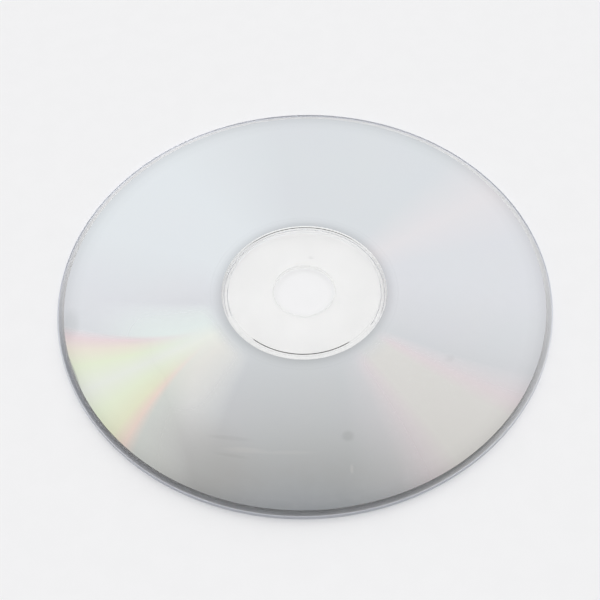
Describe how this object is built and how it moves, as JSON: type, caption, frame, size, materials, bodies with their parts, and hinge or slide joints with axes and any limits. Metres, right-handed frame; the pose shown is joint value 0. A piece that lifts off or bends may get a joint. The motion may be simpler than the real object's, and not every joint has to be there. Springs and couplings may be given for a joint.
{
  "type": "compact disc",
  "caption": "Clear moulded optical disc with a centre hole and a mirror coat on its label side, lying label side up.",
  "frame": {"origin": "centre of the spindle hole, on the surface that the disc rests on, which is the foot of its stacking ring", "axes": "+Z along the spindle hole, out of the label side; the disc is the same all round, so X and Y lie anyhow in its plane"},
  "size_m": [0.12, 0.12, 0.0014],
  "materials": {
    "clear_polycarbonate": "gloss",
    "mirror_coat": "mirror"
  },
  "bodies": {
    "root": {"substrate": "clear_polycarbonate", "reflective_coat": "mirror_coat"}
  },
  "joints": []
}
